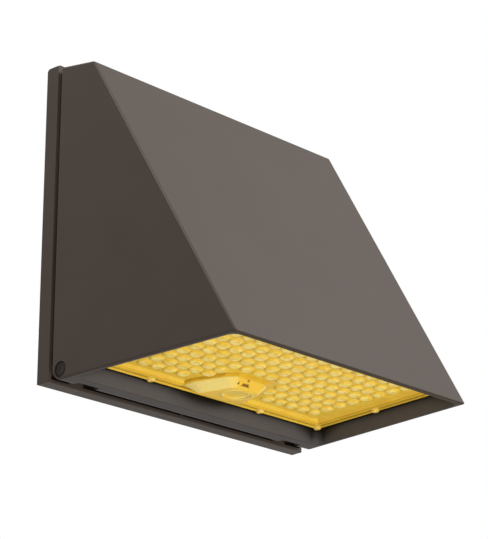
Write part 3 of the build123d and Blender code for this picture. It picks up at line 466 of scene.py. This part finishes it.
def amber_finish(name, shade_of, spots_per_metre, crevice_mm, closed, open_from, ripple_mm=0.03):
    """Amber plastic; shade_of gives its colour in the open, and painted shade deepens it in narrow places.
    """
    finish, plastic, where = new_finish(name, 0.30)
    spots = add_noise(finish, where, spots_per_metre)
    # Painted shade: a browner amber where the occlusion finds a crevice.
    painted_crevice_shade = add_ramp(finish, spots, (0.36, AMBER_DEEP_SHADE), (0.50, AMBER_SHADE))
    narrow = add_crevice(finish, crevice_mm, 16)
    in_the_open = add_ramp(finish, narrow, (closed, (0, 0, 0, 1)), (open_from, (1, 1, 1, 1)))
    set_colour(finish, plastic, mix_colours(finish, in_the_open, painted_crevice_shade, shade_of(finish, where)))
    plastic.inputs["Specular IOR Level"].default_value = 0.30
    plastic.inputs["Subsurface Weight"].default_value = 0.20
    plastic.inputs["Subsurface Radius"].default_value = (1.0, 0.55, 0.12)
    plastic.inputs["Subsurface Scale"].default_value = 0.002
    add_bump(finish, plastic, add_noise(finish, where, 190.0), ripple_mm, 0.4)
    return finish


def border_shade(finish, where):
    """Plain amber, a little cloudy."""
    return add_ramp(finish, add_noise(finish, where, 60.0), (0.30, srgb(222, 180, 54)), (0.70, AMBER))


def painted_crown_highlight(finish, where):
    """Painted highlight: paler towards the crowns of the optics, unevenly."""
    rise = add_part(finish, where, "Z", level(FIELD_HEIGHT), level(CROWN_HEIGHT))
    uneven = add_range(finish, add_noise(finish, where, 160.0), -0.2, 1.8)
    pale = all_of(finish, [rise, uneven])
    return add_ramp(finish, pale, (0.05, srgb(224, 182, 54)), (0.30, AMBER), (0.75, AMBER_HIGHLIGHT))


def painted_side_highlight(finish, where):
    """Painted highlight: paler where the surface faces left or right."""
    sideways = add_part(finish, either_way(finish, surface_normal(finish)), "X", 0.0, 1.0)
    return add_ramp(finish, sideways, (0.20, srgb(230, 188, 60)), (0.60, AMBER_HIGHLIGHT))


amber_border = amber_finish("amber_border", border_shade, 20.0, 1.5, 0.02, 0.25)
amber_crowns = amber_finish("amber_crowns", painted_crown_highlight, 150.0, 2.0, 0.05, 0.42, ripple_mm=3.0)
amber_cover = amber_finish("amber_cover", painted_side_highlight, 60.0, 1.5, 0.25, 0.60)
paint(amber_border, "optic_lens")

# %% [markdown]
# Rubber is dark, dull and very slightly uneven: dust and mould release dull it in patches. The seals and
# bushes share one such finish. The wall gasket is closed cell foam, so it gets a pattern of cells half a
# millimetre across.

# %% Rubber and foam
black_rubber, shader, place = new_finish("black_rubber", 0.75)
dust = add_noise(black_rubber, place, 120.0, 4.0)
dusty_black = add_ramp(black_rubber, dust, (0.35, srgb(24, 23, 23)), (0.75, srgb(36, 35, 34)))
set_colour(black_rubber, shader, dusty_black)
set_gloss(black_rubber, shader, dust, 0.62, 0.85)
add_bump(black_rubber, shader, dust, 0.05, 0.4)
shader.inputs["Specular IOR Level"].default_value = 0.3
paint(black_rubber, "rim_seal", "wire_grommet", "closure_washers", "lens_gasket", "lead_grommet")

grey_foam, shader, place = new_finish("grey_foam", 0.95)
foam_cells = add_cells(grey_foam, place, 1800.0)
foam_grey = add_ramp(grey_foam, foam_cells, (0.10, srgb(40, 40, 41)), (0.60, srgb(66, 66, 67)))
set_colour(grey_foam, shader, foam_grey)
add_bump(grey_foam, shader, foam_cells, 0.15, 0.8)
paint(grey_foam, "wall_gasket")

# %% [markdown]
# The small screws, nuts and clips are zinc plated: a pale bluish metal with a soft cloudy gloss. The
# screws that hold the lens have the yellow passivation that is common outdoors, which is why they look so
# close to the amber in the photograph. One function makes both, because only the two tints differ.

# %% Plated steel
def plated_steel(name, dark, light, metallic=1.0):
    """Cloudy plating between two tints."""
    finish, metal, where = new_finish(name, 0.35, metallic)
    cloud = add_noise(finish, where, 350.0, 4.0, 0.6)
    set_colour(finish, metal, add_ramp(finish, cloud, (0.30, dark), (0.70, light)))
    set_gloss(finish, metal, cloud, 0.26, 0.46)
    add_bump(finish, metal, add_noise(finish, where, 2400.0), 0.01, 0.4)
    return finish


zinc_plate = plated_steel("zinc_plate", srgb(168, 170, 172), srgb(200, 202, 204))
yellow_zinc = plated_steel("yellow_zinc", srgb(230, 190, 78), srgb(240, 206, 108), metallic=0.0)
green_plate = plated_steel("green_plate", srgb(28, 96, 50), srgb(52, 134, 78))
paint(zinc_plate, "terminal_screws", "hinge_clips", "closure_nuts", "closure_screw_left",
      "closure_screw_right", "led_board_screws", "bracket_screws", "driver_screws", "surge_screws")
paint(yellow_zinc, "lens_screws")
paint(green_plate, "ground_screw")

# %% [markdown]
# The hinge pins are blackened: a thin oxide on steel, nearly black, with a little brown and an oily
# gloss.

# %% Black oxide
black_oxide, shader, place = new_finish("black_oxide", 0.42)
oil = add_noise(black_oxide, place, 200.0, 4.0)
oily_black = add_ramp(black_oxide, oil, (0.30, srgb(24, 19, 18)), (0.70, srgb(33, 27, 25)))
set_colour(black_oxide, shader, oily_black)
set_gloss(black_oxide, shader, oil, 0.36, 0.52)
add_bump(black_oxide, shader, oil, 0.02, 0.3)
shader.inputs["Specular IOR Level"].default_value = 0.15
paint(black_oxide, "hinge_pin_left", "hinge_pin_right")

# %% [markdown]
# Sheet and case metal show how they were made. Galvanised sheet has spangles, the flat crystals of its
# zinc, which a cell pattern with one random grey per cell gives. The driver's case is drawn aluminium
# with fine lines along it, so its noise is squeezed across the length and left long along it.

# %% Galvanised sheet and drawn aluminium
galvanised, shader, place = new_finish("galvanised_sheet", 0.45, metallic=1.0)
spangle = add_cells(galvanised, place, 160.0, "Color")
spangle_grey = add_ramp(galvanised, spangle, (0.20, srgb(150, 154, 156)), (0.85, srgb(192, 196, 198)))
set_colour(galvanised, shader, spangle_grey)
set_gloss(galvanised, shader, spangle, 0.34, 0.56)
add_bump(galvanised, shader, add_noise(galvanised, place, 700.0), 0.01, 0.3)
paint(galvanised, "driver_bracket")

drawn_aluminium, shader, place = new_finish("drawn_aluminium", 0.38, metallic=1.0)
lines = add_noise(drawn_aluminium, stretch(drawn_aluminium, place, 12.0, 1800.0, 1800.0), 1.0, 3.0)
line_grey = add_ramp(drawn_aluminium, lines, (0.3, srgb(186, 187, 188)), (0.7, srgb(208, 209, 210)))
set_colour(drawn_aluminium, shader, line_grey)
set_gloss(drawn_aluminium, shader, lines, 0.30, 0.46)
add_bump(drawn_aluminium, shader, lines, 0.01, 0.4)
paint(drawn_aluminium, "driver")

# %% [markdown]
# The small electrical mouldings are plain plastics. They differ in colour and dullness, and each has the
# faint cloud and the fine texture of its mould, so one function makes them all.

# %% Moulded plastics
def moulded_plastic(name, dark, light, dullness, grain_depth_mm=0.02):
    """Plain plastic between two close tints, with a fine mould texture."""
    finish, skin, where = new_finish(name, dullness)
    cloud = add_noise(finish, where, 90.0, 3.0)
    set_colour(finish, skin, add_ramp(finish, cloud, (0.30, dark), (0.70, light)))
    set_gloss(finish, skin, cloud, dullness - 0.05, dullness + 0.08)
    add_bump(finish, skin, add_noise(finish, where, 1500.0), grain_depth_mm, 0.4)
    return finish


paint(moulded_plastic("black_nylon", srgb(30, 30, 31), srgb(42, 42, 43), 0.50), "terminal_block")
paint(moulded_plastic("natural_nylon", srgb(218, 214, 200), srgb(230, 227, 215), 0.45), "board_connector")
paint(moulded_plastic("red_case_plastic", srgb(132, 38, 30), srgb(148, 46, 36), 0.40), "surge_protector")
paint(moulded_plastic("grey_vent_plastic", srgb(52, 52, 54), srgb(64, 64, 66), 0.55), "vent_plug")

# %% [markdown]
# The board is aluminium under a white solder mask, a glossy lacquer that shows a trace of the weave of
# copper below it as long soft steps. Each light source on it is a yellow window of phosphor gel, softly
# grained and a little translucent.

# %% Board and light sources
white_mask, shader, place = new_finish("white_solder_mask", 0.30)
copper = add_cells(white_mask, stretch(white_mask, place, 1.0, 0.35, 1.0), 90.0)
mask_white = add_ramp(white_mask, copper, (0.15, srgb(226, 226, 220)), (0.60, srgb(238, 238, 233)))
set_colour(white_mask, shader, mask_white)
set_gloss(white_mask, shader, copper, 0.26, 0.36)
add_bump(white_mask, shader, copper, 0.03, 0.4)
paint(white_mask, "led_board")

phosphor_gel, shader, place = new_finish("phosphor_gel", 0.35)
gel = add_noise(phosphor_gel, place, 900.0, 3.0)
gel_yellow = add_ramp(phosphor_gel, gel, (0.30, srgb(236, 196, 60)), (0.70, srgb(244, 214, 92)))
set_colour(phosphor_gel, shader, gel_yellow)
shader.inputs["Subsurface Weight"].default_value = 0.3
shader.inputs["Subsurface Scale"].default_value = 0.0006
add_bump(phosphor_gel, shader, gel, 0.02, 0.4)
paint(phosphor_gel, "led_chips")

# %% [markdown]
# New pieces are made in a bmesh and then become objects of the scene. The helper turns a bmesh into a
# named object at the origin, makes it ride on its CAD body, and hides the CAD nodes it stands for.

# %% From bmesh to a piece of the light
SHARP_ANGLE = 35.0


def make_piece(bm, name, finish, body, stands_for=(), smooth_angle=SHARP_ANGLE):
    """An object from a bmesh, riding on a CAD body."""
    bmesh.ops.recalc_face_normals(bm, faces=bm.faces)
    mesh = bpy.data.meshes.new(name)
    bm.to_mesh(mesh)
    bm.free()
    mesh.materials.append(finish)
    mesh.shade_smooth()
    mesh.set_sharp_from_angle(angle=radians(smooth_angle))
    piece = bpy.data.objects.new(name, mesh)
    bpy.context.scene.collection.objects.link(piece)
    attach(piece, body)
    if stands_for:
        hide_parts(*stands_for)
    print(name, len(mesh.polygons), "faces")
    return piece


def solid_centres(node, reach):
    """Middle of each separate solid in a CAD node, seen from below; solids lie further apart than reach."""
    groups = []
    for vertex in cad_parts[node].data.vertices:
        for group in groups:
            if abs(vertex.co.x - group[0].x) < reach and abs(vertex.co.y - group[0].y) < reach:
                group.append(vertex.co)
                break
        else:
            groups.append([vertex.co])
    middles = []
    for group in groups:
        across = [point.x for point in group]
        along = [point.y for point in group]
        middles.append(((min(across) + max(across)) / 2, (min(along) + max(along)) / 2))
    return middles


print("ready to make pieces")

# %% [markdown]
# Round pieces are turned, as on a lathe: half of the section is drawn beside the Z axis and spun round
# it. A full spin merges its last step with its first, and the points that lie on the axis are merged
# after it, so that the mesh is closed. Pieces that repeat are made once and copied to their places, as a
# tool would repeat them in the mould.

# %% Turned shapes and copies
TINY = 1e-6


def spin_profile(bm, points, steps):
    """A closed turned shape round Z from (radius, height) points in millimetres."""
    rim = [bm.verts.new((radius * MM, 0, height * MM)) for radius, height in points]
    edges = [bm.edges.new(pair) for pair in zip(rim, rim[1:])]
    bmesh.ops.spin(bm, geom=rim + edges, cent=(0, 0, 0), axis=(0, 0, 1), angle=radians(360), steps=steps,
                   use_merge=True)
    bmesh.ops.remove_doubles(bm, verts=bm.verts, dist=TINY)


def copy_to(bm, places, height):
    """Copies the shape to each place, at a height in millimetres, and takes the first one away."""
    first = bm.verts[:] + bm.edges[:] + bm.faces[:]
    for x, y in places:
        copied = bmesh.ops.duplicate(bm, geom=first)
        moved = [item for item in copied["geom"] if isinstance(item, bmesh.types.BMVert)]
        bmesh.ops.translate(bm, verts=moved, vec=(x, y, level(height)))
    originals = [item for item in first if isinstance(item, bmesh.types.BMVert)]
    bmesh.ops.delete(bm, geom=originals, context="VERTS")


print("ready to turn and copy")

# %% [markdown]
# Each light source has its own optic: a smooth bubble that throws its light forwards, so it is a little
# longer from side to side than from front to rear, and its crown leans to the rear. The CAD model has
# faceted domes there. A turned profile gives a round bubble, a scale and a shear give it its lean, and
# duplicates of it go over every source, whose places are read from the CAD node of the sources. Few faces
# each are enough, because smooth shading does the rest.

# %% Bubbles of the optics
CHIP_REACH = 6.0
BUBBLE_LENGTH, BUBBLE_LEAN, BUBBLE_STEPS = 1.10, 0.30, 14
bubble = [(0, 0.4), (6.7, 0.4), (6.5, -0.1), (6.0, -0.7), (5.2, -1.35), (4.0, -1.85), (2.2, -2.2),
          (0, -2.3)]

bm = bmesh.new()
spin_profile(bm, bubble, BUBBLE_STEPS)
lean = Matrix(((BUBBLE_LENGTH, 0, 0), (0, 1, -BUBBLE_LEAN), (0, 0, 1))).to_4x4()
bmesh.ops.transform(bm, matrix=lean, verts=bm.verts)
places = solid_centres("led_chips", CHIP_REACH * MM)
copy_to(bm, places, FIELD_HEIGHT)
make_piece(bm, "optic_bubbles", amber_crowns, "housing", smooth_angle=60.0)
print(len(places), "bubbles")

# %% [markdown]
# A fine rib runs round the border of the lens, outside its broken ridge. It stiffens the edge. The
# grooves beside it get a brown painted shade, which gives the dark lines that the photograph shows there.
# The lens is a trapezoid with rounded corners, because the housing narrows to the front, so one function
# gives its outline at any distance from the edge. A rib is made of such outlines, one for each corner of
# its section, and bridge_loops joins each outline to the next.

# %% Rib of the lens border
LENS_REAR, LENS_FRONT, LENS_HALF, LENS_CORNER = -38.6, -196.4, 145.4, 6.0
LENS_LEVEL = 15.5
SIDE_DRAFT = 3.8
CORNER_STEPS = 5
RIB_INSET, RIB_WIDTH, RIB_HEIGHT, RIB_ROUNDING = 2.6, 1.8, 1.5, 0.3
RIB_FOOT = 0.3


def lens_outline(inset):
    """Points of the lens outline in millimetres, drawn in by inset."""
    corner = max(LENS_CORNER - inset, 1.0)
    right_half = []
    for middle_y, first, last in ((LENS_FRONT + inset + corner, -90, -SIDE_DRAFT),
                                  (LENS_REAR - inset - corner, -SIDE_DRAFT, 90)):
        middle_x = LENS_HALF + DRAFT_SLOPE * middle_y - inset - corner
        for step in range(CORNER_STEPS):
            turn = radians(first + (last - first) * step / (CORNER_STEPS - 1))
            right_half.append((middle_x + corner * cos(turn), middle_y + corner * sin(turn)))
    return right_half + [(-x, y) for x, y in reversed(right_half)]


def add_rib(bm, inset, width, rise, rounding):
    """One rib that starts at a distance from the lens edge; all in millimetres."""
    foot, top = LENS_LEVEL + RIB_FOOT, LENS_LEVEL - rise
    section = [(0, foot), (0, top + rounding), (rounding, top), (width - rounding, top),
               (width, top + rounding), (width, foot)]
    rings = []
    for across, height in section:
        ring = [bm.verts.new((x * MM, y * MM, level(height))) for x, y in lens_outline(inset + across)]
        rings.append([bm.edges.new(pair) for pair in zip(ring, ring[1:] + ring[:1])])
    for ring, beside in zip(rings, rings[1:] + rings[:1]):
        bmesh.ops.bridge_loops(bm, edges=ring + beside)


bm = bmesh.new()
add_rib(bm, RIB_INSET, RIB_WIDTH, RIB_HEIGHT, RIB_ROUNDING)
make_piece(bm, "lens_border_rib", amber_border, "housing", smooth_angle=50.0)

# %% [markdown]
# The floors of the two grooves beside the rib are very low ribs of a browner amber, a painted shade for
# the grooves. A strip of its own keeps the dark line even all round, where an occlusion node would give it
# spots.

# %% Painted shade in the grooves of the lens border
GROOVE_RISE, GROOVE_ROUNDING = 0.12, 0.05
grooves = [(0.9, 1.5), (4.6, 2.6)]

# Painted shade: a brown amber for the groove floors.
amber_groove_shade, shader, place = new_finish("amber_groove_shade", 0.35)
groove_cloud = add_noise(amber_groove_shade, place, 40.0)
groove_shade_brown = add_ramp(amber_groove_shade, groove_cloud, (0.35, AMBER_DEEP_SHADE), (0.65, srgb(154, 112, 22)))
set_colour(amber_groove_shade, shader, groove_shade_brown)
add_bump(amber_groove_shade, shader, groove_cloud, 0.03, 0.3)

bm = bmesh.new()
for groove_inset, groove_width in grooves:
    add_rib(bm, groove_inset, groove_width, GROOVE_RISE, GROOVE_ROUNDING)
make_piece(bm, "lens_border_groove_shade", amber_groove_shade, "housing", smooth_angle=50.0)

# %% [markdown]
# The lens screws have pan heads with a wide washer face and a six-sided socket. The head is a turned
# profile whose middle already goes down into the socket; drawing the socket's ring in to a hexagon makes
# the flats, since the ring has four points to each flat. The profile starts under the washer, so the head
# is closed.

# %% Lens screws
SOCKET, SCREW_STEPS, SCREW_REACH = 1.9, 24, 12.0
head = [(0, 0.3), (4.3, 0.3), (4.45, -0.15), (4.3, -0.55), (3.5, -0.75), (3.4, -1.6), (3.0, -2.25),
        (2.4, -2.55), (SOCKET, -2.6), (SOCKET, -1.2), (0, -1.2)]


def hexagon_share(x, y):
    """How far a hexagon's side lies from its middle in a point's direction; 1 at its corners."""
    turn = (degrees(atan2(y, x)) % 60) - 30
    return cos(radians(30)) / cos(radians(turn))


bm = bmesh.new()
spin_profile(bm, head, SCREW_STEPS)
for vertex in bm.verts:
    if abs(vertex.co.xy.length - SOCKET * MM) < TINY:
        vertex.co.xy *= hexagon_share(vertex.co.x, vertex.co.y)
screw_places = solid_centres("lens_screws", SCREW_REACH * MM)
copy_to(bm, screw_places, LENS_LEVEL)
make_piece(bm, "lens_screw_heads", yellow_zinc, "housing", ["lens_screws"],
           smooth_angle=40.0)
print(len(screw_places), "screws")

# %% [markdown]
# A cover sits on the lens where a sensor would go. It is a low block with leaning sides whose front
# corners are cut off in two steps. Two outlines give it, one on the lens floor and one on its lower face,
# with parallel edges, so that every side is flat. A hull wraps them, and a bevel rounds the edges.

# %% Block of the cover
POD_FACE, POD_TOP, POD_ROUNDING = 8.0, 18.2, 1.1
floor_half = [(35.0, -44.6), (35.0, -61.6), (26.0, -91.6), (18.0, -99.6)]
face_half = [(23.2, -57.6), (23.2, -61.6), (15.16, -88.4), (11.96, -91.6)]

bm = bmesh.new()
for half, height in ((floor_half, POD_TOP), (face_half, POD_FACE)):
    for x, y in half + [(-x, y) for x, y in half]:
        bm.verts.new((x * MM, y * MM, level(height)))
bmesh.ops.convex_hull(bm, input=bm.verts)
bmesh.ops.dissolve_limit(bm, angle_limit=radians(2.0), verts=bm.verts, edges=bm.edges)
rounded = [e for e in bm.edges if min(v.co.z for v in e.verts) < level(POD_TOP) - TINY]
bmesh.ops.bevel(bm, geom=rounded, offset=POD_ROUNDING * MM, segments=3, profile=0.5, affect="EDGES",
                material=-1)
pod_cover = make_piece(bm, "sensor_cover", amber_cover, "housing", ["sensor_pod"])

# %% [markdown]
# Boolean cuts take the two windows, the small slit and the seat of the round blank out of the block. All
# the cutters are put in one mesh, since they don't touch each other, so that one modifier makes every
# cut. The cut shape is then read back as a plain mesh, and the cutter is removed.

# %% Cuts in the cover
PORT_Y, PORT_SEAT, SEAT_DEPTH, SEAT_SHIFT, PORT_STEPS = -77.6, 13.0, 4.0, 0.4, 64
WINDOW_HEIGHT, SLIT_HEIGHT = 11.75, 15.4


def cutter_box(bm, x, y, height, size):
    """A box for a cut, centred at a place in millimetres."""
    scale = Matrix.Diagonal([side * MM for side in size]).to_4x4()
    centre = Matrix.Translation((x * MM, y * MM, level(height)))
    bmesh.ops.create_cube(bm, size=1.0, matrix=centre @ scale)


def cut_away(piece, cutter_mesh):
    """Cuts one mesh out of a piece for good."""
    cutter = bpy.data.objects.new("cutter", cutter_mesh)
    bpy.context.scene.collection.objects.link(cutter)
    boolean = piece.modifiers.new("cut", "BOOLEAN")
    boolean.operation, boolean.solver, boolean.object = "DIFFERENCE", "EXACT", cutter
    bpy.context.view_layer.update()
    cut_mesh = bpy.data.meshes.new_from_object(piece.evaluated_get(bpy.context.evaluated_depsgraph_get()))
    piece.modifiers.clear()
    old_mesh, piece.data = piece.data, cut_mesh
    bpy.data.meshes.remove(old_mesh)
    bpy.data.objects.remove(cutter)
    cut_mesh.set_sharp_from_angle(angle=radians(SHARP_ANGLE))


bm = bmesh.new()
cutter_box(bm, -5.0, -95.0, WINDOW_HEIGHT, (7.2, 8.0, 1.8))
cutter_box(bm, -13.0, -94.0, WINDOW_HEIGHT, (2.0, 8.0, 1.8))
cutter_box(bm, -4.0, -98.0, SLIT_HEIGHT, (1.4, 5.0, 1.8))
seat_place = Matrix.Translation((0, PORT_Y * MM, level(POD_FACE - SEAT_SHIFT)))
bmesh.ops.create_cone(bm, cap_ends=True, segments=PORT_STEPS, radius1=PORT_SEAT * MM,
                      radius2=PORT_SEAT * MM, depth=SEAT_DEPTH * MM, matrix=seat_place)
cuts = bpy.data.meshes.new("cover_cuts")
bm.to_mesh(cuts)
bm.free()
cut_away(pod_cover, cuts)
print("cover", len(pod_cover.data.polygons), "faces")

# %% [markdown]
# Behind the windows it is dark: the eye of a sensor is smoked. Small blocks of smoked plastic stand just
# behind the front face of the cover, one in each window and one in the slit, and close them.

# %% Smoked windows
WINDOW_ROUNDING = 0.3

smoked_plastic, shader, place = new_finish("smoked_plastic", 0.18)
smoke = add_noise(smoked_plastic, place, 500.0)
smoked_brown = add_ramp(smoked_plastic, smoke, (0.3, srgb(118, 86, 26)), (0.7, srgb(146, 110, 40)))
set_colour(smoked_plastic, shader, smoked_brown)
add_bump(smoked_plastic, shader, smoke, 0.01, 0.3)

bm = bmesh.new()
cutter_box(bm, -5.0, -92.9, WINDOW_HEIGHT, (9.6, 2.0, 3.0))
cutter_box(bm, -13.0, -91.6, WINDOW_HEIGHT, (3.0, 2.0, 3.0))
cutter_box(bm, -4.0, -96.4, SLIT_HEIGHT, (2.0, 2.0, 2.4))
bmesh.ops.bevel(bm, geom=bm.edges[:], offset=WINDOW_ROUNDING * MM, segments=2, profile=0.5,
                affect="EDGES", material=-1)
make_piece(bm, "cover_windows", smoked_plastic, "housing")

# %% [markdown]
# The round blank closes the cover's port: a shallow dish with a rounded rim, in a low ring on the cover's
# face. Both are turned, and both profiles are closed, so their meshes have an inside too.

# %% Port blank and its ring
blank = [(0, 1.2), (12.7, 1.2), (12.75, 0.2), (12.4, -0.1), (11.4, -0.25), (10.6, -0.1), (10.0, 0.6),
         (9.2, 0.85), (0, 0.95)]
ring = [(12.95, 0.6), (12.95, -0.35), (13.2, -0.6), (13.7, -0.6), (14.0, -0.3), (14.1, 0.3), (14.1, 0.6),
        (12.95, 0.6)]

for name, profile, stands_for in (("port_blank", blank, ["port_plug"]), ("port_ring", ring, [])):
    bm = bmesh.new()
    spin_profile(bm, profile, PORT_STEPS)
    bmesh.ops.translate(bm, verts=bm.verts, vec=(0, PORT_Y * MM, level(POD_FACE)))
    make_piece(bm, name, amber_cover, "housing", stands_for)

# %% [markdown]
# The hinge pins are turned steel: a head with a chamfered rim and a shallow centre mark from the lathe,
# and a plain shank. One profile is spun round Z, then laid along the hinge axis and moved out to its
# side. The length of the pin is read from the CAD node's own box.

# %% Hinge pins
HINGE_Y, HINGE_HEIGHT = -26.0, 8.5
HEAD_RADIUS, SHANK_RADIUS, HEAD_THICKNESS = 6.2, 3.0, 2.0
PIN_STEPS = 40

for side, node in ((1, "hinge_pin_right"), (-1, "hinge_pin_left")):
    low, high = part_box(node)
    length = (high.x - low.x) / MM
    outer_x = max(abs(low.x), abs(high.x)) / MM
    pin = [(0, length), (2.9, length), (SHANK_RADIUS, length - 0.3), (SHANK_RADIUS, HEAD_THICKNESS),
           (HEAD_RADIUS - 0.15, HEAD_THICKNESS), (HEAD_RADIUS, HEAD_THICKNESS - 0.15), (HEAD_RADIUS, 0.6),
           (HEAD_RADIUS - 0.55, 0.05), (HEAD_RADIUS - 0.7, 0), (1.1, 0), (0.2, 0.5), (0, 0.5)]
    bm = bmesh.new()
    spin_profile(bm, pin, PIN_STEPS)
    laid = Matrix.Translation((side * outer_x * MM, HINGE_Y * MM, level(HINGE_HEIGHT)))
    laid = laid @ Matrix.Rotation(radians(-90 * side), 4, "Y")
    bmesh.ops.transform(bm, matrix=laid, verts=bm.verts)
    make_piece(bm, node.replace("hinge_pin", "turned_pin"), black_oxide, "housing", [node])
